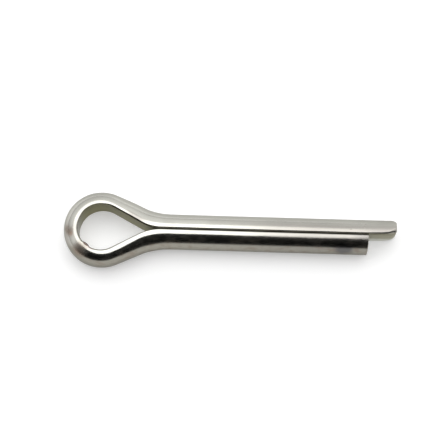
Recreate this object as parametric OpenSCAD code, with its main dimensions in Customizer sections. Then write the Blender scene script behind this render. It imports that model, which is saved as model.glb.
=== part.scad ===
// Split cotter pin, made of one length of half-round wire. The wire is folded back on itself with
// its flat side inwards: the two legs lie flat to flat as one round shank, and the fold is the eye.
// It lies on its side. +X runs from the eye to the tips, +Y across the loop and +Z up, with the
// origin on the shank's axis at the root, where the round shank begins and the wire swells out
// towards the eye.

/* [Shank] */
// Diameter of the round shank that the two legs make together
shank_d = 2.9; // [1.6:0.1:4]
// Gap between the flat sides of the two legs
leg_gap = 0.06; // [0.04:0.02:0.3]
// Length of the short leg from the root to its tip
short_leg = 16.1; // [8:0.1:60]
// How much further the long leg reaches
leg_step = 2.3; // [1:0.1:6]

/* [Eye] */
// Width of the opening in the eye, across its round end
eye_opening = 3.8; // [2.6:0.1:8]
// Angle between the shank's axis and each of the eye's straight flanks
flank_angle = 28; // [18:1:42]
// Radius of the bend from each leg into its flank, on the wire's flat side
neck_r = 3.8; // [3:0.1:6]
// Radius of the same bend along the wire's round back, where the squeezed metal swells out
neck_back_r = 6.5; // [3:0.1:10]
// Distance from the root, where the back's bend begins, to where the flat side's bend begins
neck_swell = 0.86; // [0:0.02:2]
// How much thinner bending has drawn the wire round the eye than it is in the legs
eye_thinning = 0.2; // [0.06:0.02:0.3]

/* [Edges and tips] */
// Radius along both edges of the wire's flat side
edge_r = 0.15; // [0.06:0.01:0.3]
// Width of the blunt end on the long leg's rounded tip
nose_flat = 0.8; // [0.2:0.05:0.9]
// Radius of the cut across the short leg, which falls away towards the outside
shear_r = 12; // [3:0.5:20]

/* [Hidden] */
$fn = 96;

wire_r = shank_d / 2;
leg_y = leg_gap / 2;
leg_t = wire_r - leg_y;
long_leg = short_leg + leg_step;

// The flat side's line: along the leg, round the neck, up the straight flank and round the eye.
// The eye's centre lies where one straight line touches both arcs at the flank's angle.
eye_r = eye_opening / 2;
neck_x = -neck_swell;
flank = ((eye_r + neck_r) * cos(flank_angle) - leg_y - neck_r) / sin(flank_angle);
eye_x = neck_x - flank * cos(flank_angle) - (eye_r + neck_r) * sin(flank_angle);

// The wire's round back is part of a rod as thick as the shank. The rod's centre line starts on
// the shank's axis and takes its own two arcs: a wider one in the neck, which swells the wire, and
// a tighter one round the eye's centre, which thins it. Its flank touches both, so the wider arc
// stays small enough to leave some straight flank.
rod_eye_r = eye_r - leg_y - eye_thinning;
widest_neck_r = 0.98 * (eye_x ^ 2 - rod_eye_r ^ 2) / (2 * rod_eye_r);
rod_neck_r = min(wire_r + neck_back_r, widest_neck_r);
rod_flank = sqrt(eye_x ^ 2 + rod_neck_r ^ 2 - (rod_eye_r + rod_neck_r) ^ 2);
rod_angle = atan2(rod_eye_r + rod_neck_r, rod_flank) - atan2(rod_neck_r, -eye_x);

// A straight stretch reaches this far into its bends, and a bend is drawn a hair smaller all
// round, so that one closes over the other and the whole wire is one solid
lap = 0.03;
bend_inset = 0.002;
// The flat side's own stretch of the eye's arc, past the point where the rod's arc begins
eye_lap_angle = 6;

// The long leg's tip is rounded by a circle a little wider than the leg. The blunt end is a chord
// of that circle, so it is always narrower.
nose_r = 0.51 * leg_t;
nose_half = min(nose_flat / 2, 0.95 * nose_r);
nose_x = long_leg - sqrt(nose_r ^ 2 - nose_half ^ 2);

// Depth of the flat side's section, which only has to be more than the wire's thickness
section_t = 1.2 * wire_r;

// Sections are drawn with x pointing out of the loop and y pointing up, $inset smaller all round

// Section of the rod
module rod_section() {
    circle(r = wire_r - $inset);
}

// Section of all that lies behind the flat side, with its two edges rounded
module flat_section() {
    half_h = wire_r - $inset;
    translate([$inset, edge_r - wire_r])
        square([section_t - 2 * $inset, 2 * (wire_r - edge_r)]);
    translate([edge_r, -half_h])
        square([section_t - edge_r - $inset, 2 * half_h]);
    for (side = [-1, 1])
        translate([edge_r, side * (wire_r - edge_r)])
            circle(r = edge_r - $inset);
}

// Sweeps a section along +X
module straight(length) {
    $inset = 0;
    translate([-lap, 0, 0])
        rotate([90, 0, 90])
            linear_extrude(length + 2 * lap)
                children();
}

// Sweeps a section round the Z axis from +X. outward is 1 where the section's x points away from
// the axis, and -1 where it points towards it.
module bend(radius, angle, outward) {
    $inset = bend_inset;
    rotate_extrude(angle = angle)
        translate([radius, 0])
            scale([outward, 1])
                children();
}

// Sweeps a section along the leg, the neck and the flank on the +Y side. The neck's arc begins at
// start, a place in plan that the section's x = 0 passes through.
module leg_to_flank(start, radius, angle, flank_length) {
    translate(start)
        straight(long_leg + shank_d)
            children();
    translate([start.x, start.y + radius, 0]) {
        rotate([0, 0, -90 - angle])
            bend(radius, angle, -1)
                children();
        rotate([0, 0, -angle])
            translate([-flank_length, -radius, 0])
                straight(flank_length)
                    children();
    }
}

// One side of the loop, with its tip cut to the plan that is given as the child
module side() {
    intersection() {
        leg_to_flank([0, 0], rod_neck_r, rod_angle, rod_flank)
            rod_section();
        union() {
            leg_to_flank([neck_x, leg_y], neck_r, flank_angle, flank)
                flat_section();
            translate([eye_x, 0, 0])
                rotate([0, 0, 90 - flank_angle])
                    bend(eye_r, flank_angle - rod_angle + eye_lap_angle, 1)
                        flat_section();
        }
        linear_extrude(2 * shank_d, center = true)
            children();
    }
}

// The eye's round end, from where one of the rod's flanks ends to where the other does
module eye() {
    $inset = 2 * bend_inset;
    translate([eye_x, 0, 0])
        rotate([0, 0, 90 - rod_angle])
            rotate_extrude(angle = 180 + 2 * rod_angle)
                intersection() {
                    translate([rod_eye_r, 0])
                        rod_section();
                    translate([eye_r, 0])
                        flat_section();
                }
}

// All of one side, up to a line across the shank
module plan_up_to(x) {
    reach = x - 2 * eye_x;
    translate([x - reach, 0])
        square(reach);
}

// Plan of the long leg: a rounded tip with a blunt end
module nose_plan() {
    plan_up_to(nose_x);
    intersection() {
        plan_up_to(long_leg);
        translate([nose_x, (leg_y + wire_r) / 2])
            circle(r = nose_r);
    }
}

// Plan of the short leg: sheared off along a shallow curve
module sheared_plan() {
    plan_up_to(short_leg - shear_r);
    intersection() {
        plan_up_to(long_leg);
        translate([short_leg - shear_r, 0])
            circle(r = shear_r);
    }
}

module cotter_pin() {
    color("silver") {
        eye();
        side()
            nose_plan();
        mirror([0, 1, 0])
            side()
                sheared_plan();
    }
}

cotter_pin();
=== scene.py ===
# %% [markdown]
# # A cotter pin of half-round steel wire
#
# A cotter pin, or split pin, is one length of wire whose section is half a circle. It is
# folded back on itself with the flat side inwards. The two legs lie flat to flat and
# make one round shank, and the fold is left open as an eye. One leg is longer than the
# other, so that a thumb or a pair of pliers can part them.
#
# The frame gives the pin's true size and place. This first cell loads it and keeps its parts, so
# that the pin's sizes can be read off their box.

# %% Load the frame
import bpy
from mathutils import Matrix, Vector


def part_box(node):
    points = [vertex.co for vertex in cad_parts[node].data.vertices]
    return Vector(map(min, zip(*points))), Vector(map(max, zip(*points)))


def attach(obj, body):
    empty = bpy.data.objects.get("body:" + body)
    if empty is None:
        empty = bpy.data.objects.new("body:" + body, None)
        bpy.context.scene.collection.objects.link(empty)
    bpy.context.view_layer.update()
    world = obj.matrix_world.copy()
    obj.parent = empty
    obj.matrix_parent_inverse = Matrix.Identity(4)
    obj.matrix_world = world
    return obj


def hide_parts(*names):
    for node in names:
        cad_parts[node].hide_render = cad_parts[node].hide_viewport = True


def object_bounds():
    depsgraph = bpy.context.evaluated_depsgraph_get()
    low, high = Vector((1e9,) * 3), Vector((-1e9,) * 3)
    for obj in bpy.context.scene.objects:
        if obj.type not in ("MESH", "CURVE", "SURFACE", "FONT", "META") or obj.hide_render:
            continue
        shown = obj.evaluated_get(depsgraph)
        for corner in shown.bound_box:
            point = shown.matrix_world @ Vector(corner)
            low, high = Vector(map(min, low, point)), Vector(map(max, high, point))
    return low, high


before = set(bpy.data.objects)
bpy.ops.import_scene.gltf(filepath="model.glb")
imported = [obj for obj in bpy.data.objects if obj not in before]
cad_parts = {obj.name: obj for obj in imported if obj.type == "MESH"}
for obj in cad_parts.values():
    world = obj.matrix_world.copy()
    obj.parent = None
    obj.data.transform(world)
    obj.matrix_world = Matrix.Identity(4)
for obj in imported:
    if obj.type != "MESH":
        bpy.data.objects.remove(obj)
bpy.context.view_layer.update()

# %% Import Blender and the maths
import math

import bpy
import numpy as np
from mathutils import Matrix, Vector, noise

print("Blender", bpy.app.version_string)

# %% [markdown]
# # The camera
#
# The pin lies on a table and is looked at from nearly straight above, a little from the
# short leg's side. A long lens keeps the shank's sides nearly parallel. The camera is
# set first, because everything else is judged through it. The pin is to look turned by
# a hair, but the frame can't be turned. So the camera gets a frame of its own, turned
# the other way.

# %% Aim the camera
MM = 0.001
SENSOR_WIDTH = 36
FOCAL_LENGTH = 149.66292
DISTANCE = 152.43 * MM
ELEVATION = math.radians(77.51)
TURN = math.radians(1.7)
LOOK_AT = Vector((4.144, 0.804, 0)) * MM

turned = Matrix.Rotation(TURN, 4, "Z")
away = Vector((0, -math.cos(ELEVATION), math.sin(ELEVATION)))
camera = bpy.data.objects.new("camera", bpy.data.cameras.new("camera"))
camera.data.sensor_width = SENSOR_WIDTH
camera.data.lens = FOCAL_LENGTH
camera.data.clip_start = 0.01
camera.matrix_world = turned @ Matrix.LocRotScale(
    LOOK_AT + away * DISTANCE, away.to_track_quat("Z", "Y"), None
)
bpy.context.scene.collection.objects.link(camera)
bpy.context.scene.camera = camera
bpy.context.scene.view_settings.view_transform = "Standard"
print("camera", round(DISTANCE / MM), "mm away, lens", round(FOCAL_LENGTH, 1), "mm")

# %% [markdown]
# # The wire's two lines
#
# Seen from above, the wire's flat side runs along a leg, swings out round the neck, goes
# straight up the flank and then round the eye. That makes a chain of a line, an arc, a
# line and an arc. The round back doesn't keep an even distance from it. Where
# the wire leaves the shank the squeezed metal swells, and round the eye the stretched
# metal is thinner. So the back gets a line of its own: the centre line of a rod as
# thick as the shank, with a wider bend in the neck and a tighter one round the eye.
#
# A curve object with one bevel couldn't do this, because its section is the same all
# along. Two lines and a section worked out between them at every station can.

# %% Sizes in millimetres
pin_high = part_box("cotter_pin")[1]
wire_r = pin_high.z / MM
long_tip = pin_high.x / MM
short_tip = 16.1
leg_y = 0.03
eye_r = 1.9
neck_x = -0.86
neck_r = 3.8
neck_back_r = 6.5
eye_thinning = 0.2
flank_angle = math.radians(28)
rod_neck_r = wire_r + neck_back_r
rod_eye_r = eye_r - leg_y - eye_thinning
print("wire radius", round(wire_r, 3), "mm, long leg", round(long_tip, 2), "mm")

# %% Work out the flanks
eye_and_neck = eye_r + neck_r
flank = (eye_and_neck * math.cos(flank_angle) - leg_y - neck_r) / math.sin(flank_angle)
eye_x = neck_x - flank * math.cos(flank_angle) - eye_and_neck * math.sin(flank_angle)
rod_flank = math.sqrt(eye_x**2 + rod_neck_r**2 - (rod_eye_r + rod_neck_r) ** 2)
rod_angle = math.atan2(rod_eye_r + rod_neck_r, rod_flank) - math.atan2(rod_neck_r, -eye_x)
print("eye centre", round(eye_x, 3), "mm, flanks", round(flank, 2), round(rod_flank, 2))

# %% Trace a line from a leg's tip to the crown


def even_steps(length, step):
    """Fractions from 0 up to, and not including, 1."""
    count = max(1, round(length / step))
    return np.arange(count) / count


def heading_out(turn):
    """The way out of the loop, at right angles to a line that has turned by an angle."""
    return np.stack([np.sin(turn), np.cos(turn)], axis=-1)


def half_line(tip, start, bend_r, angle, straight, loop_r, step):
    """Points of one side's line and how far it has turned at each of them."""
    along = even_steps(tip - start[0], step)
    leg = np.stack([tip + (start[0] - tip) * along, np.full(len(along), start[1])], axis=1)
    bend_turn = angle * even_steps(bend_r * angle, step)
    bend_middle = np.array([start[0], start[1] + bend_r])
    bend = bend_middle - bend_r * heading_out(bend_turn)
    side_start = bend_middle - bend_r * heading_out(angle)
    side_way = np.array([-math.cos(angle), math.sin(angle)])
    side_steps = even_steps(straight, step)
    side = side_start + side_way * straight * side_steps[:, None]
    sweep = angle + math.pi / 2
    loop_turn = angle - sweep * even_steps(loop_r * sweep, step / 2)
    loop = np.array([eye_x, 0]) + loop_r * heading_out(loop_turn)
    points = np.concatenate([leg, bend, side, loop])
    turns = np.concatenate(
        [np.zeros(len(leg)), bend_turn, np.full(len(side), angle), loop_turn]
    )
    return points, turns


print("a line has four stretches: leg, bend, flank and loop")

# %% Trace the flat side's line and the rod's
STATION_STEP = 0.08
ROD_STEP = 0.01
flat_line, flat_turn = half_line(
    long_tip, (neck_x, leg_y), neck_r, flank_angle, flank, eye_r, STATION_STEP
)
rod_line, _ = half_line(
    long_tip, (0, 0), rod_neck_r, rod_angle, rod_flank, rod_eye_r, ROD_STEP
)
print(len(flat_line), "stations on each side,", len(rod_line), "points on the rod's line")

# %% [markdown]
# # From flat side to round back
#
# At each station the section needs one number: how far out of the flat side the rod's
# centre line lies. In the legs that is just short of nothing, so the section is very
# nearly half a circle. Round the eye the centre lies on the inner side and less than
# half the circle is left. The nearest point of a finely traced line gives that number
# well within a thousandth of a millimetre.

# %% Measure from one line to the other
spans = rod_line[None] - flat_line[:, None]
nearest = np.argmin((spans**2).sum(axis=2), axis=1)
to_rod = (spans[np.arange(len(spans)), nearest] * heading_out(flat_turn)).sum(axis=1)
print("rod line out of the flat side, mm: leg", to_rod[0].round(3), "eye", to_rod[-1].round(3))

# %% Join both sides at the crown
mirror = np.array([1, -1])
crown = [[eye_x - eye_r, 0]]
path = np.concatenate([flat_line, crown, flat_line[::-1] * mirror])
out_ways = heading_out(flat_turn)
outward = np.concatenate([out_ways, [[-1, 0]], out_ways[::-1] * mirror])
centres = np.concatenate([to_rod, [rod_eye_r - eye_r], to_rod[::-1]])
steps = np.linalg.norm(np.diff(path, axis=0), axis=1)
along = np.concatenate([[0], np.cumsum(steps)])
print(len(path), "stations over", round(along[-1], 1), "mm, before the short leg is cut back")

# %% [markdown]
# # The half-round section
#
# The section is a flat face, two rounded edges and a round back. Drawn wire never has a
# knife edge there: the die leaves a small radius, and that radius is what catches the
# light as a thin bright line on each side of the slit. The back has a fullness. At 2 it
# is a plain ellipse, above 2 it is squarer and below 2 it is leaner. Every station gets
# the same number of points in the same order, so that neighbours can be joined with
# four-sided faces.

# %% Draw the section
FLAT_POINTS, EDGE_POINTS, BACK_POINTS = 14, 13, 62
TRIAL_POINTS = 500


def round_back(angles, thickness, fullness):
    """Points on the wire's round back and the way out at each, from its outermost line."""
    width, power = thickness + leg_y, 2 / fullness
    cos, sin = np.maximum(np.cos(angles), 0), np.abs(np.sin(angles))
    points = np.stack([width * cos**power - leg_y, wire_r * sin**power], axis=1)
    ways = np.stack([cos ** (2 - power) / width, sin ** (2 - power) / wire_r], axis=1)
    upper_or_lower = np.stack([np.ones(len(angles)), np.sign(angles)], axis=1)
    ways /= np.linalg.norm(ways, axis=1, keepdims=True)
    return points * upper_or_lower, ways * upper_or_lower


def half_round(thickness, fullness, edge_r):
    """Points (out of the flat side, up) round the wire, and the way out of its skin at each."""
    angles = np.linspace(math.pi / 2, 0, TRIAL_POINTS)
    points, ways = round_back(angles, thickness, fullness)
    inner = points - edge_r * ways
    meet = np.interp(edge_r, inner[:, 0], angles)
    edge_z = np.interp(edge_r, inner[:, 0], inner[:, 1])
    meet_way = round_back(np.array([meet]), thickness, fullness)[1][0]
    lean = math.atan2(meet_way[1], meet_way[0])
    flat_z = np.linspace(-edge_z, edge_z, FLAT_POINTS, endpoint=False)
    back_angles = np.linspace(meet, -meet, BACK_POINTS, endpoint=False)
    top_turn = np.linspace(math.pi, lean, EDGE_POINTS, endpoint=False)
    low_turn = np.linspace(-lean, -math.pi, EDGE_POINTS, endpoint=False)

    def edge(turns, up):
        way = np.stack([np.cos(turns), np.sin(turns)], axis=1)
        return (edge_r, up) + edge_r * way, way

    stretches = [
        (np.stack([0 * flat_z, flat_z], axis=1), np.tile([-1.0, 0.0], (FLAT_POINTS, 1))),
        edge(top_turn, edge_z),
        round_back(back_angles, thickness, fullness),
        edge(low_turn, -edge_z),
    ]
    return [np.concatenate(part) for part in zip(*stretches)]


print("a section has", FLAT_POINTS + 2 * EDGE_POINTS + BACK_POINTS, "points")

# %% [markdown]
# # How the section changes along the wire
#
# The die made one section, and the bending tool changed it. Distances along the wire
# start at the long tip. The edges are rubbed round at that tip, soft along the long
# leg's flank and round the short leg's side of the eye, and sharp over the other side.
# The back is leaner and a little thicker along the long leg's flank, where the tool
# squeezed it. It is fuller round the eye, most of all from the crown to the short leg's
# flank. Edges and fullness are short lists of places and sizes, with an even change
# between them.

# %% Draw a section at every station
EDGE_AT = [0, 0.2, 0.4, 1, 2.6, 20.5, 21.5, 23.6, 24.4, 27, 27.8, 31.5, 33]
EDGE_R = [0.45, 0.36, 0.28, 0.22, 0.15, 0.15, 0.19, 0.19, 0.07, 0.08, 0.19, 0.19, 0.14]
FULL_AT = [19.5, 20.8, 23.3, 25, 26.2, 27.8, 30, 32, 34]
FULLNESS = [2, 1.87, 1.87, 2.08, 2.12, 2.32, 2.3, 2.4, 2]
SQUEEZE, SQUEEZE_AT, SQUEEZE_REACH = 0.07, 22.3, 1.5
edge_radii = np.interp(along, EDGE_AT, EDGE_R)
fullnesses = np.interp(along, FULL_AT, FULLNESS)
squeezed = SQUEEZE * np.exp(-(((along - SQUEEZE_AT) / SQUEEZE_REACH) ** 2))
thick = centres + wire_r + squeezed
drawn = [half_round(*sizes) for sizes in zip(thick, fullnesses, edge_radii)]
sections, skin_ways = map(np.array, zip(*drawn))
ring = sections.shape[1]
thickness = np.ptp(sections[:, :, 0], axis=1)
print("the wire is from", thickness.min().round(2), "to", thickness.max().round(2), "mm thick")

# %% [markdown]
# # The tips
#
# The long leg ends in a blunt tip whose two corners are rounded in plan. The
# short leg is sheared off along a shallow curve. Both are plans: an end for the wire
# at each distance from the slit. The last stretch of each leg is drawn out, or held
# back, until every line along the wire ends on that plan.

# %% Plan of each tip
# The nose's radius is a hair more than half the leg's thickness, so it meets both sides.
NOSE_SHARE = 0.51
BLUNT_HALF = 0.4
SHEAR_R = 12
leg_thickness = wire_r - leg_y
nose_r = NOSE_SHARE * leg_thickness
nose_x = long_tip - math.sqrt(nose_r**2 - BLUNT_HALF**2)


def long_end(y):
    """Where the long leg ends at a distance y from the slit's middle."""
    reach = np.sqrt(np.maximum(nose_r**2 - (y - leg_y - leg_thickness / 2) ** 2, 0))
    return np.minimum(nose_x + reach, long_tip)


def short_end(y):
    """Where the short leg ends at a distance y from the slit's middle."""
    return short_tip - SHEAR_R + np.sqrt(SHEAR_R**2 - y**2)


print("tips at the flat side, mm:", long_end(leg_y).round(2), short_end(leg_y).round(2))

# %% [markdown]
# # Small faults in the metal
#
# Bent wire is never perfectly even. The skin rises and falls by a few thousandths of a
# millimetre, slowly along the wire and a little faster round it, and that is enough to
# make a reflection wander. A dark crumb, rust or a burr, also sticks to the eye's inner
# edge. Both are moved into the mesh, because they bend the outline of a reflection in a
# way that shading alone doesn't.

# %% Waves in the skin
SLOW_RISE, SLOW_ALONG, SLOW_ROUND = 0.005, 4, 1.5
QUICK_RISE, QUICK_ALONG, QUICK_ROUND = 0.0016, 1.3, 0.5
SEED_STEP = 17.3


def wave(place, seed):
    """A smooth bump or hollow, from about -1 to 1, at a place in mm."""
    return noise.noise(Vector(place) + Vector((0, 0, seed * SEED_STEP)))


def unevenness(s, out, up):
    """How far the skin stands off its true place, in mm."""
    slow = wave((s / SLOW_ALONG, out / SLOW_ROUND, up / SLOW_ROUND), 1)
    quick = wave((s / QUICK_ALONG, out / QUICK_ROUND, up / QUICK_ROUND), 2)
    return SLOW_RISE * slow + QUICK_RISE * quick


relief = np.array(
    [[unevenness(s, *point) for point in section] for s, section in zip(along, sections)]
)
print("unevenness from", relief.min().round(4), "to", relief.max().round(4), "mm")

# %% [markdown]
# # The skin of the wire
#
# Each section is now stood up at its station. What goes out of the flat side follows
# the line's outward way, and what goes up stays up. A ring of points per station
# gives a grid, and the grid is the wire's skin. The crumb is a short ridge on it, with
# a flat top and soft sides.

# %% Place every point
shaped = sections + skin_ways * relief[:, :, None]
plan = path[:, None] + outward[:, None] * shaped[:, :, :1]
skin = np.concatenate([plan, shaped[:, :, 1:]], axis=2)
ways = np.concatenate([outward[:, None] * skin_ways[:, :, :1], skin_ways[:, :, 1:]], axis=2)
print("skin of", skin.shape[0], "by", skin.shape[1], "points")

# %% Raise the crumb
CRUMB = np.array([-6.95, -1.5, 1.34])
CRUMB_WAY = np.array([0.81, -0.59, 0])
CRUMB_LENGTH, CRUMB_WIDTH, CRUMB_HEIGHT = 0.3, 0.115, 0.12
to_crumb = skin - CRUMB
lengthwise = to_crumb @ CRUMB_WAY
sidewise = np.linalg.norm(to_crumb - lengthwise[:, :, None] * CRUMB_WAY, axis=2)
crumb = np.exp(-((lengthwise / CRUMB_LENGTH) ** 4) - (sidewise / CRUMB_WIDTH) ** 4)
skin += ways * (CRUMB_HEIGHT * crumb)[:, :, None]
print("the crumb stands", (CRUMB_HEIGHT * crumb.max()).round(3), "mm proud")

# %% Draw the legs out to their tips
LONG_EDGE, SHORT_EDGE = 0.15, 0.06
HOLD = 1.6
ROUNDING = 1e-6


def fit_leg(points, end, tip, edge):
    """Draws the last stretch of a leg out to its plan, less the edge that comes after."""
    start = tip - HOLD
    stretch = (end(np.abs(points[:, :, 1])) - edge - start) / HOLD
    reach = np.clip(points[:, :, 0] - start, 0, HOLD)
    points[:, :, 0] = np.where(points[:, :, 0] > start, start + reach * stretch, points[:, :, 0])


half = len(flat_line)
keep = np.ones(len(path), bool)
keep[half + 1 :] = path[half + 1 :, 0] <= short_tip + ROUNDING
skin, sections, along, crumb = skin[keep], sections[keep], along[keep], crumb[keep]
fit_leg(skin[:half], long_end, long_tip, LONG_EDGE)
fit_leg(skin[half:], short_end, skin[-1, 0, 0], SHORT_EDGE)
print("drawn skin ends at", skin[0, :, 0].max().round(2), "and", skin[-1, :, 0].max().round(2), "mm")

# %% [markdown]
# # The cut ends
#
# A wire is cut off between two blades. The cut face is duller than the drawn skin and a
# little uneven, and the corner between them is never sharp enough to see as a
# line. So each leg gets a few rings that turn a small radius, and then rings that close
# the face in towards its middle. A separate lid would leave a hard seam.

# %% Close a tip
CORNER_TURNS = np.radians([22.5, 45, 67.5, 90])
FACE_RINGS = [0.85, 0.7, 0.5, 0.3, 0.1]
TEAR_RISE, TEAR_ACROSS, TEAR_UP = 0.012, 0.16, 0.3
TIPS_APART = 9


def cut_end(section, side, end, edge):
    """Rings from a leg's last section, round the edge and in across the cut face."""
    middle = (section.min(axis=0) + section.max(axis=0)) / 2
    half_size = np.ptp(section, axis=0) / 2
    scales = [1 - edge * (1 - math.cos(turn)) / half_size for turn in CORNER_TURNS]
    scales += [scales[-1] * share for share in FACE_RINGS]
    set_backs = [edge * (1 - math.sin(turn)) for turn in CORNER_TURNS] + [0] * len(FACE_RINGS)
    placed, shapes = [], []
    for scale, set_back in zip(scales, set_backs):
        shape = middle + (section - middle) * scale
        y = leg_y + shape[:, 0]
        spots = [(TIPS_APART * side, out / TEAR_ACROSS, up / TEAR_UP) for out, up in shape]
        torn = np.array([TEAR_RISE * wave(spot, 3) for spot in spots])
        x = end(y) - set_back + torn * (1 - set_back / edge)
        placed.append(np.stack([x, side * y, shape[:, 1]], axis=1))
        shapes.append(shape)
    return np.array(placed), np.array(shapes)


long_cut, long_sections = cut_end(sections[0], 1, long_end, LONG_EDGE)
short_cut, short_sections = cut_end(sections[-1], -1, short_end, SHORT_EDGE)
print(len(long_cut), "rings close each tip")

# %% Put the rows together
TIP_BEND, TIP_BEND_START = 0.02, 16.8
rows = np.concatenate([long_cut[::-1], skin, short_cut])
row_sections = np.concatenate([long_sections[::-1], sections, short_sections])
row_along = np.concatenate(
    [np.full(len(long_cut), along[0]), along, np.full(len(short_cut), along[-1])]
)
past_bend = np.clip((rows[:, :, 0] - TIP_BEND_START) / (long_tip - TIP_BEND_START), 0, 1)
rows[:, :, 1] += TIP_BEND * past_bend**2
print(len(rows), "rows; the long tip bends out by", TIP_BEND, "mm")

# %% Join the rows with faces
lids = [rows[0].mean(axis=0), rows[-1].mean(axis=0)]
points = np.concatenate([rows.reshape(-1, 3), lids]) * MM
last_row = (len(rows) - 1) * ring
faces = [
    (i * ring + j, i * ring + (j + 1) % ring, (i + 1) * ring + (j + 1) % ring, (i + 1) * ring + j)
    for i in range(len(rows) - 1)
    for j in range(ring)
]
faces += [(len(points) - 2, (j + 1) % ring, j) for j in range(ring)]
faces += [(len(points) - 1, last_row + j, last_row + (j + 1) % ring) for j in range(ring)]
print(len(points), "points and", len(faces), "faces")

# %% [markdown]
# # What the finish needs to know
#
# Four things are written on the mesh for its material to read. The first is where
# each point lay on the straight wire, before it was folded: drawing lines run along
# that, whatever the wire does later. The second is how flat the skin is, from 1 on the
# flat side to 0 on the back. The third is 1 on a cut face, and the fourth is 1 on the
# crumb. A material could guess at them from place alone, but not round the eye, where
# the wire turns through every direction.

# %% Build the mesh
mesh = bpy.data.meshes.new("half_round_wire")
mesh.from_pydata(points.tolist(), [], faces)
mesh.shade_smooth()
pin = bpy.data.objects.new("half_round_wire", mesh)
bpy.context.scene.collection.objects.link(pin)
print("mesh box in mm:", (points.min(axis=0) / MM).round(3), (points.max(axis=0) / MM).round(3))

# %% Write on the mesh
edge_fade = np.clip(1 - 2 * np.linspace(0, 1, EDGE_POINTS, endpoint=False), 0, 1)
flatness = np.concatenate(
    [np.ones(FLAT_POINTS), edge_fade, np.zeros(BACK_POINTS), edge_fade[::-1]]
)
crumb = np.pad(crumb, ((len(long_cut), len(short_cut)), (0, 0)))
cut = np.zeros(len(rows))
cut[: len(long_cut)] = cut[-len(short_cut) :] = 1
lengths = np.broadcast_to(row_along[:, None, None], (*rows.shape[:2], 1))
straight = np.concatenate([lengths, row_sections], axis=2)
straight_lids = [straight[0].mean(axis=0), straight[-1].mean(axis=0)]


def write_on(name, kind, field, values, lid):
    """Stores one value for each point of the mesh, and the lids' value for the two last."""
    layer = mesh.attributes.new(name, kind, "POINT")
    layer.data.foreach_set(field, np.concatenate([values.ravel(), np.ravel(lid)]))


write_on("straight_wire", "FLOAT_VECTOR", "vector", straight, straight_lids)
write_on("flat_side", "FLOAT", "value", np.tile(flatness, (len(rows), 1)), [0, 0])
write_on("cut_face", "FLOAT", "value", np.repeat(cut, ring), [1, 1])
write_on("crumb", "FLOAT", "value", crumb, [0, 0])
print("written on the mesh: straight_wire, flat_side, cut_face, crumb")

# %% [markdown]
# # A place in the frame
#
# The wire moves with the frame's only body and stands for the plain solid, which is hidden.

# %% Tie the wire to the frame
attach(pin, "root")
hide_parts("cotter_pin")

# %% [markdown]
# # Sums in a material
#
# A material is a tree of small sums. Written out node by node it hides what it means,
# so one small class lets a node's output take part in ordinary arithmetic. Colours
# don't take part: a Math node would turn them grey, so they go through Mix.

# %% A socket that can be reckoned with


class Term:
    """A node's output, or an empty start, in a material's node tree."""

    def __init__(self, tree, socket=None):
        self.tree, self.socket = tree, socket

    def node(self, kind, settings=None, inputs=None, output=0):
        """Adds a node: first its settings, then the values or links of its sockets."""
        made = self.tree.nodes.new("ShaderNode" + kind)
        for name, value in (settings or {}).items():
            setattr(made, name, value)
        for name, value in (inputs or {}).items():
            if isinstance(value, Term):
                self.tree.links.new(value.socket, made.inputs[name])
            else:
                made.inputs[name].default_value = value
        return Term(self.tree, made.outputs[output] if made.outputs else None)

    def reckon(self, operation, *terms):
        """A Math node on the terms."""
        return self.node("Math", {"operation": operation}, dict(enumerate(terms)))

    def __add__(self, other):
        return self.reckon("ADD", self, other)

    def __mul__(self, other):
        return self.reckon("MULTIPLY", self, other)

    def __sub__(self, other):
        return self.reckon("SUBTRACT", self, other)

    def __rsub__(self, other):
        return self.reckon("SUBTRACT", other, self)

    __radd__, __rmul__ = __add__, __mul__

    def ramp(self, low, high):
        """0 below low, 1 above high, and a smooth rise between them."""
        limits = {"Value": self, "From Min": low, "From Max": high}
        return self.node("MapRange", {"interpolation_type": "SMOOTHSTEP"}, limits)

    def mix(self, first, second):
        """The first colour where this term is 0, the second where it is 1."""
        return self.node("Mix", {"data_type": "RGBA"}, {0: self, 6: first, 7: second}, 2)


def new_tree(name):
    """An empty material and a start for its nodes."""
    material = bpy.data.materials.new(name)
    material.use_nodes = True
    material.node_tree.nodes.clear()
    return material, Term(material.node_tree)


print("a term reckons with +, - and *")

# %% [markdown]
# # Bright drawn steel
#
# The wire has been pulled through a die. That leaves a bright skin with very fine lines
# along it, which blur a reflection across the wire much more than along it. The
# lines are noise, stretched fifty times and more along the straight wire. Oil and
# handling leave the skin clearer in some places than in others: the drift is a slow
# change along the wire, and the mottle is a finer, blotchy one.

# %% Coordinates for the steel
steel, start = new_tree("bright drawn steel")
place = start.node("TexCoord", output="Object")
facing = start.node("TexCoord", output="Normal")
wire_place = start.node("Attribute", {"attribute_name": "straight_wire"}, output="Vector")
flat_side = start.node("Attribute", {"attribute_name": "flat_side"}, output="Fac")
cut_face = start.node("Attribute", {"attribute_name": "cut_face"}, output="Fac")
crumb_here = start.node("Attribute", {"attribute_name": "crumb"}, output="Fac")
print("steel reads four things from the mesh")

# %% Lines and blotches


def grain(scale_along, scale_across, detail=2):
    """Noise from 0 to 1, that many waves to a millimetre along the wire and across it."""
    scale = (scale_along, scale_across, scale_across)
    stretched = start.node("VectorMath", {"operation": "MULTIPLY"}, {0: wire_place, 1: scale})
    return start.node("TexNoise", None, {"Vector": stretched, "Scale": 1, "Detail": detail})


die_lines = grain(0.12, 6)
fine_lines = grain(0.3, 22)
drift = grain(0.35, 0.8)
mottle = grain(1.6, 2.2, 4)
print("lines, drift and mottle take", len(steel.node_tree.nodes), "nodes so far")

# %% Single directions


def one_of(vector, direction):
    """A vector's share along X, Y or Z."""
    return start.node("SeparateXYZ", None, {"Vector": vector}, direction)


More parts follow.
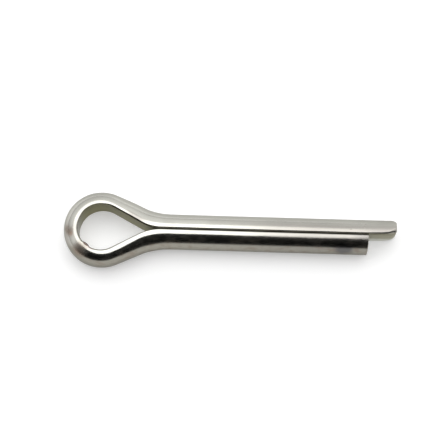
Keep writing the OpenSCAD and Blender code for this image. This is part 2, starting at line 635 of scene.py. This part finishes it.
place_x, place_y, place_z = [one_of(place, direction) for direction in "XYZ"]
facing_y, facing_z = [one_of(facing, direction) for direction in "YZ"]
wire_along, wire_out = [one_of(wire_place, direction) for direction in "XY"]
print("+X runs to the tips, +Y to the long leg's side and +Z up")

# %% [markdown]
# # Rust, dirt and the crumb
#
# A pin like this has been plated or is stainless, but where it was bent the skin has
# cracked a little. There is a reddish brown stain with an amber rim on the crown of the
# eye, a fainter patch further round, and dark dirt on the crumb with a trace round it. A
# smudge lies near the short tip, and specks lie here and there. Each is a soft blob
# round a place, broken up by the mottle so that its edge isn't a circle. Painting by
# hand would need an image; blobs and noise don't.

# %% Blobs of stain
RAGGED = 0.8


def blob(centre, reach, fade):
    """1 near a place in mm, falling to 0 over the fade beyond its reach."""
    spot = tuple(v * MM for v in centre)
    far = start.node("VectorMath", {"operation": "DISTANCE"}, {0: place, 1: spot}, "Value")
    ragged = far + (mottle - 0.5) * (RAGGED * fade * MM)
    return 1 - ragged.ramp(reach * MM, (reach + fade) * MM)


crown_halo = blob((-8.5, -0.4, 0.7), 0.4, 1.1)
stain_end = blob((-8.46, -0.2, 1.0), 0.12, 0.35)
stain_heart = blob((-8.32, -0.43, 1.1), 0.14, 0.38)
stain_rim = blob((-8.16, -0.66, 1.2), 0.06, 0.3)
crown_stain = start.reckon("MAXIMUM", stain_end * 0.85, stain_heart)
low_stain = blob((-7.42, -1.85, 1.1), 0.25, 0.65)
crumb_trace = blob((-6.55, -1.7, 1.4), 0.1, 0.35)
crumb_dirt = crumb_here.ramp(0.15, 0.5)
smudge = blob((14.05, -1.2, 0.85), 0.35, 0.75)
print("stains at the crown, further round, by the crumb and near the short tip")

# %% Specks
SPECKS_A_MM = 1.1
speck_sockets = {"Vector": wire_place, "Scale": SPECKS_A_MM}
speck_field = start.node("TexVoronoi", None, speck_sockets, "Distance")
specks = (1 - speck_field.ramp(0.02, 0.07)) * mottle.ramp(0.45, 0.6)
print("specks about", round(1 / SPECKS_A_MM, 1), "mm apart, some of them left out")

# %% [markdown]
# Wear, olive tint and painted shade
#
# The pin is handled by its legs. The round skin that faces the short leg's side is painted darker as
# shade, in brown patches here and there, and the skin that faces the long leg's side is painted a
# little darker too. The long leg's flat side is olive, with painted shade over it: a little between
# the legs, more in the eye and most along its top. The legs are rubbed towards their tips, most on
# top. The open wall past the short tip has painted shade along its top and a painted reflection of
# the pale table along its bottom. The bend has lost some of its shine, and the edges are scuffed
# where the long leg's neck ends. None of these needs a drawing: each goes by where a point is, which
# way it faces and which side of the wire it is on.

# %% Painted shade on the round skin, by which way it faces
round_side = 1 - flat_side
# Painted shade: the round skin that faces the short leg's side is darkened, in brown patches here
# and there, so that its reflection reads darker.
near_side_shade = (0 - facing_y).ramp(0.25, 0.6) * round_side
near_shade_patches = near_side_shade * mottle.ramp(0.45, 0.7)
# Painted shade: the round skin that faces the long leg's side is darkened a little, so that its
# reflection reads greyer.
far_side_shade = facing_y.ramp(0.5, 0.75) * round_side
print("film on the short leg's side, dullness on the long leg's")

# %% Olive tint and painted shade on the flat side
BETWEEN_LEGS, MORE_IN_EYE = 0.25, 0.65
in_eye = (0 - place_x).ramp(0.3 * MM, 1.3 * MM)
olive_and_shade_strength = BETWEEN_LEGS + in_eye * MORE_IN_EYE
# Olive tint with painted shade over it on the flat side that faces the short leg's side: a little
# between the legs, more in the eye.
olive_and_inner_shade = flat_side * (0 - facing_y).ramp(-0.2, 0.8) * olive_and_shade_strength
# Painted shade: a darker line along the top of that flat side.
wall_top_shade = olive_and_inner_shade * place_z.ramp(-0.4 * MM, 1.4 * MM)
print("the flat side dulls by", BETWEEN_LEGS, "to", BETWEEN_LEGS + MORE_IN_EYE)

# %% Wear towards the tips, and painted shade and a painted reflection on the long tip's wall
top_only = facing_z.ramp(0.8, 0.95)
short_half = (0 - place_y).ramp(0, 0.1 * MM)
worn = place_x.ramp(2 * MM, 12 * MM)
rubbed = worn * top_only
short_tip_rub = short_half * place_x.ramp(14.4 * MM, 15.8 * MM) * top_only
tip_worn = place_x.ramp(14.5 * MM, 17.5 * MM) * (1 - near_side_shade)
tip_wall = flat_side * place_x.ramp(15.5 * MM, 16.5 * MM)
# Painted reflection: the bottom of the wall near the long tip is paler, as if it mirrored the lit
# table.
tip_low_reflection = tip_wall * (0 - place_z).ramp(0, 1.0 * MM)
# Painted shade: a dark line along the top of that wall.
tip_top_shade = tip_wall * place_z.ramp(0.8 * MM, 1.3 * MM)
print("wear grows from 2 to 12 mm out, and again at the tips")

# %% Wear where the wire was bent
SCUFF_AT = 21.6
bent = (0 - place_x).ramp(4 * MM, 7 * MM)
from_scuff = start.reckon("ABSOLUTE", wire_along - SCUFF_AT)
scuff = (1 - from_scuff.ramp(0.3, 1.3)) * (1 - wire_out.ramp(0.28, 0.5))
print("a scuff", SCUFF_AT, "mm along the wire from the long tip")

# %% [markdown]
# # The steel's colours
#
# A metal's colour is how much of each light it sends back: 0.6 for clean steel, with a little less
# blue, and far less where rust takes the light first. Some coats are painted shade and a painted
# reflection, not the steel's own colour. The colours go on like coats of thin paint, the wide ones
# first and the small stains last. A mask says where a coat lies, and a number says how strong it is.

# %% Name the colours
BRIGHT = (0.618, 0.612, 0.559, 1)
DULL = (0.447, 0.441, 0.401, 1)
COOL_GREY = (0.355, 0.35, 0.318, 1)
WARM_GREY = (0.355, 0.336, 0.309, 1)
NEAR_SHADE_GREY = (0.254, 0.242, 0.206, 1)
OLIVE = (0.262, 0.243, 0.1, 1)
SHADE_OLIVE = (0.092, 0.088, 0.039, 1)
PAINTED_REFLECTION = (0.78, 0.79, 0.72, 1)
BROWN = (0.211, 0.145, 0.105, 1)
RUST = (0.184, 0.138, 0.105, 1)
AMBER = (0.34, 0.21, 0.135, 1)
ROSE = (0.434, 0.329, 0.329, 1)
DIRT = (0.105, 0.066, 0.053, 1)
SOOT_AND_SHADE = (0.079, 0.079, 0.086, 1)
print("bare steel is", BRIGHT[:3])

# %% Lay the coats on the steel
coats = [
    (rubbed, 0.8, WARM_GREY),
    (tip_worn, 0.25, WARM_GREY),
    # painted shade on the skin that faces the short leg's side, and its brown patches
    (near_side_shade, 0.9, NEAR_SHADE_GREY),
    (near_shade_patches, 0.35, BROWN),
    (smudge, 0.75, SOOT_AND_SHADE),
    # painted shade on the skin that faces the long leg's side
    (far_side_shade, 0.7, COOL_GREY),
    (scuff, 0.9, WARM_GREY),
    # olive tint with painted shade on the flat side, and a darker painted line along its top
    (olive_and_inner_shade, 1, OLIVE),
    (wall_top_shade, 0.6, SHADE_OLIVE),
    # painted shade on the wall near the long tip, a painted reflection along its bottom and painted
    # shade along its top
    (tip_wall, 0.2, OLIVE),
    (tip_low_reflection, 1, PAINTED_REFLECTION),
    (tip_top_shade, 0.8, SHADE_OLIVE),
    # darker rubbing at the short tip, and painted shade on the short leg's side towards its tip
    (short_tip_rub * 0.25 + near_side_shade * worn * 0.15, 1, SOOT_AND_SHADE),
    (crown_halo, 0.75, WARM_GREY),
    (crown_stain, 0.8, RUST),
    (stain_rim, 0.45, AMBER),
    (low_stain, 0.6, BROWN),
    (crumb_trace, 0.5, ROSE),
    (specks, 0.5, DIRT),
    (crumb_dirt, 0.9, DIRT),
]
colour = (drift.ramp(0.35, 0.7) * 0.3 + worn * 0.5 + bent * 0.55).mix(BRIGHT, DULL)
for where, strength, coat in coats:
    colour = (where * strength).mix(colour, coat)
print(len(coats), "coats over the bare steel")

# %% [markdown]
# # Gloss and relief
#
# Clean drawn steel is nearly a mirror. The drift, the mottle and the lines change that a little from
# place to place. Wear, stain and the painted-shade side make it rougher, and so are the flat side
# and the cut faces. Rust isn't metal, so the steel is a little less metallic where it lies, and a
# hair less on the brown patches of painted shade. The relief is what is too fine for the mesh: lines
# and mottle a thousandth or two of a millimetre deep, and the coarser tear of a cut face. A tint on
# the specular keeps the metal from turning white where it is seen edge on.

# %% Gloss
CLEANEST = 0.08
roughness = (
    CLEANEST
    + drift * 0.05
    + mottle * 0.04
    + fine_lines * 0.03
    + near_side_shade * 0.07
    + worn * (1 - near_side_shade) * 0.08
    + tip_worn * 0.15
    + crown_stain * 0.1
    + (flat_side + cut_face) * 0.15
)
metallic = 1 - low_stain * 0.3 - stain_heart * 0.3 - near_shade_patches * 0.08
print("the cleanest steel has a roughness of", CLEANEST)

# %% Relief
RELIEF_STRENGTH, RELIEF_DEPTH = 0.35, 0.004 * MM
height = die_lines * 0.35 + fine_lines * 0.15 + mottle * 0.5 + cut_face * mottle * 3
relief_sockets = {"Strength": RELIEF_STRENGTH, "Distance": RELIEF_DEPTH, "Height": height}
relief_normal = start.node("Bump", None, relief_sockets)
print("a height of 1 stands for", round(RELIEF_DEPTH / MM, 3), "mm of relief")

# %% Finish the steel
EDGE_TINT = (0.6, 0.6, 0.58, 1)
steel_sockets = {
    "Base Color": colour,
    "Metallic": metallic,
    "Roughness": roughness,
    "Specular Tint": EDGE_TINT,
    "Normal": relief_normal,
}
shader = start.node("BsdfPrincipled", None, steel_sockets)
start.node("OutputMaterial", None, {"Surface": shader})
mesh.materials.append(steel)
print("steel has", len(steel.node_tree.nodes), "nodes")

# %% [markdown]
# # The table
#
# White paper on a table, wide enough to fill every view. It lies at the pin's lowest
# point. Paper is matt, and under this light it would come out a little grey. A
# light of its own, seen only by the camera, in reflections and through clear things,
# lifts it to a clean white. It lights nothing else, and the pin's shadow stays in place.

# %% Mix the paper
PAPER = (0.78, 0.78, 0.78, 1)
PAPER_LIFT = 0.33
paper, start = new_tree("white paper")
camera_sees = start.node("LightPath", output="Is Camera Ray")
gloss_sees = start.node("LightPath", output="Is Glossy Ray")
clear_sees = start.node("LightPath", output="Is Transmission Ray")
lift = (camera_sees + gloss_sees + clear_sees) * PAPER_LIFT
matt = start.node("BsdfDiffuse", None, {"Color": PAPER})
glow = start.node("Emission", None, {"Color": lift, "Strength": 1})
both = start.node("AddShader", None, {0: matt, 1: glow})
start.node("OutputMaterial", None, {"Surface": both})
print("paper is", PAPER[0], "white, lifted by", PAPER_LIFT)

# %% Lay the paper
PAPER_HALF_WIDTH = 1.5
table_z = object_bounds()[0].z
signs = [(-1, -1), (1, -1), (1, 1), (-1, 1)]
corners = [(x * PAPER_HALF_WIDTH, y * PAPER_HALF_WIDTH, table_z) for x, y in signs]
table_mesh = bpy.data.meshes.new("paper")
table_mesh.from_pydata(corners, [], [(0, 1, 2, 3)])
table_mesh.materials.append(paper)
table = bpy.data.objects.new("paper", table_mesh)
bpy.context.scene.collection.objects.link(table)
print("paper at", round(table_z / MM, 3), "mm")

# %% [markdown]
# # The light
#
# Bright metal has hardly any look of its own: it shows what is round it. A wide soft
# lamp hangs overhead and a little beyond the pin. The room is pale, and paler overhead
# than at the horizon. One dark card stands on the viewer's side, leans out over the pin
# and fades at its sides. The lamp makes the white lines on the edges of the slit, the
# room makes the far leg pale grey, and the card draws the black band along the near
# leg. Bright metal is often lit with such a card, and the camera doesn't see it.
#
# Lamp and room together light a matt thing on the table to about the colour that it
# is written in, so the steel keeps its look under other light too.

# %% Hang the lamp
LAMP_AWAY = 0.5
LAMP_LEAN = math.radians(11.25)
LAMP_HALF_WIDTH, LAMP_HALF_DEPTH = math.radians(33), math.radians(33.75)
LAMP_BRIGHTNESS = 1.08
lamp_way = Vector((0, math.sin(LAMP_LEAN), math.cos(LAMP_LEAN)))
lamp = bpy.data.lights.new("softbox", "AREA")
lamp.shape = "ELLIPSE"
lamp.size = 2 * LAMP_AWAY * math.tan(LAMP_HALF_WIDTH)
lamp.size_y = 2 * LAMP_AWAY * math.tan(LAMP_HALF_DEPTH)
lamp_area = math.pi * lamp.size * lamp.size_y / 4
# A flat lamp looks as bright as white when it gives pi watts for each square metre.
lamp.energy = LAMP_BRIGHTNESS * math.pi * lamp_area
softbox = bpy.data.objects.new("softbox", lamp)
softbox.matrix_world = Matrix.LocRotScale(
    lamp_way * LAMP_AWAY, lamp_way.to_track_quat("Z", "Y"), None
)
bpy.context.scene.collection.objects.link(softbox)
print("softbox", round(lamp.size, 2), "by", round(lamp.size_y, 2), "m")

# %% Fill the room with pale light
HORIZON, RISE = 0.76, 0.53
room = bpy.data.worlds.new("pale room")
room.use_nodes = True
room.node_tree.nodes.clear()
bpy.context.scene.world = room
start = Term(room.node_tree)
way = start.node("TexCoord", output="Generated")
height = start.node("SeparateXYZ", None, {"Vector": way}, "Z")
pale = start.reckon("MAXIMUM", height, 0) * RISE + HORIZON
walls = start.node("Background", None, {"Color": pale, "Strength": 1})
start.node("OutputWorld", None, {"Surface": walls})
print("room from", HORIZON, "at the horizon to", HORIZON + RISE, "overhead")

# %% Cut the card to shape
CARD_AWAY = 0.5
CARD_LOW, CARD_HIGH = 4, 69.5
CARD_HALF_LOW, CARD_HALF_HIGH = 66, 88
CARD_ROWS, CARD_COLUMNS = 9, 25
card_points, card_faces, sideways = [], [], []
across = np.linspace(-1, 1, CARD_COLUMNS)
heights = np.radians(np.linspace(CARD_LOW, CARD_HIGH, CARD_ROWS))
halves = np.radians(np.linspace(CARD_HALF_LOW, CARD_HALF_HIGH, CARD_ROWS))
for up, half_turn in zip(heights, halves):
    for side in across * half_turn:
        way = (math.sin(side) * math.cos(up), -math.cos(side) * math.cos(up), math.sin(up))
        card_points.append([v * CARD_AWAY for v in way])
        sideways.append(abs(side / half_turn))
for i in range(CARD_ROWS - 1):
    for j in range(CARD_COLUMNS - 1):
        corner = i * CARD_COLUMNS + j
        above = corner + CARD_COLUMNS
        card_faces.append((corner, corner + 1, above + 1, above))
print("card from", CARD_LOW, "to", CARD_HIGH, "degrees up")

# %% Stand up the dark card
CARD_BLACK = (0.02, 0.02, 0.02, 1)
FADE_START = 0.7
black, start = new_tree("black card")
solid = start.node("BsdfDiffuse", None, {"Color": CARD_BLACK})
clear = start.node("BsdfTransparent", None, {"Color": (1, 1, 1, 1)})
to_side = start.node("Attribute", {"attribute_name": "sideways"}, output="Fac")
faded = to_side.ramp(FADE_START, 1)
shader = start.node("MixShader", None, {0: faded, 1: solid, 2: clear})
start.node("OutputMaterial", None, {"Surface": shader})
card_mesh = bpy.data.meshes.new("black_card")
card_mesh.from_pydata(card_points, [], card_faces)
card_mesh.materials.append(black)
card_mesh.attributes.new("sideways", "FLOAT", "POINT").data.foreach_set("value", sideways)
card = bpy.data.objects.new("black_card", card_mesh)
card.visible_camera = False
bpy.context.scene.collection.objects.link(card)
print("card of", len(card_faces), "faces, fading over its outer", round(1 - FADE_START, 1))
